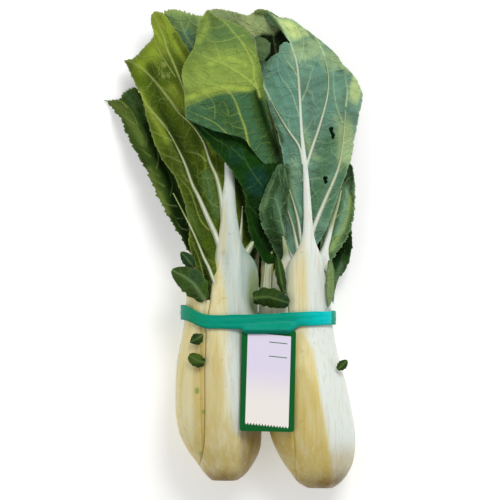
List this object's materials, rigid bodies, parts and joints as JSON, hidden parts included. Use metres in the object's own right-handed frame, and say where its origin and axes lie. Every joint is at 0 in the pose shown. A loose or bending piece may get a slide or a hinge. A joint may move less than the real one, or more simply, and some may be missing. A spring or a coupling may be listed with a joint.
{
  "type": "pak choi bunch",
  "caption": "Two heads of white-stalked pak choi side by side, leaves fanned, held by a flat teal band with a blank card tag.",
  "frame": {"origin": "middle of the bunch's footprint, on the surface that it lies on", "axes": "+Y from the cut butts to the leaf tips, +X to the right seen from the front with the leaves up, +Z out of the front, away from the surface"},
  "size_m": [0.1778, 0.3302, 0.0619],
  "materials": {
    "stalk_white": "satin, fleshy and faintly ribbed",
    "cut_butt": "dull, dried and browned at the cut",
    "olive_leaf": "satin leaf, olive to yellow-green",
    "dark_olive_leaf": "satin leaf, dark olive",
    "blue_leaf": "satin leaf, blue-green",
    "grey_leaf": "matt leaf underside, grey-green",
    "dark_leaf": "glossier leaf upper side, dark green",
    "lit_leaf": "satin leaf, yellow-green over blue-green",
    "blue_green_leaf": "matt leaf underside, blue-green",
    "mid_leaf": "matt leaf underside, mid green",
    "right_leaf": "matt leaf underside, mid green",
    "back_leaf": "satin leaf, deep green",
    "small_leaf": "satin leaf, deep green",
    "teal_band": "smooth flat tape, teal",
    "tag_paper": "coated card, near white with a green border"
  },
  "bodies": {
    "root": {"left_front_stalk": "stalk_white", "left_outer_stalk": "stalk_white", "left_slip_stalk": "stalk_white", "left_back_stalk": "stalk_white", "left_far_stalk": "stalk_white", "right_front_stalk": "stalk_white", "right_left_stalk": "stalk_white", "right_right_stalk": "stalk_white", "right_back_stalk": "stalk_white", "centre_stalk": "stalk_white", "left_front_blade": "olive_leaf", "left_outer_blade": "dark_olive_leaf", "left_back_blade": "blue_leaf", "left_far_blade": "grey_leaf", "centre_fold_blade": "dark_leaf", "centre_blade": "lit_leaf", "right_front_blade": "blue_green_leaf", "right_left_blade": "mid_leaf", "right_right_blade": "right_leaf", "right_back_blade": "back_leaf", "left_notch_leaf": "small_leaf", "left_round_leaf": "small_leaf", "left_lobe_leaf": "small_leaf", "left_curl_leaf": "small_leaf", "middle_back_leaf": "small_leaf", "right_lobe_leaf": "small_leaf", "middle_curl_leaf": "small_leaf", "right_notch_leaf": "small_leaf", "right_rolled_leaf": "small_leaf", "left_butt": "cut_butt", "right_butt": "cut_butt", "tie_band": "teal_band", "tag_card": "tag_paper"}
  },
  "joints": []
}
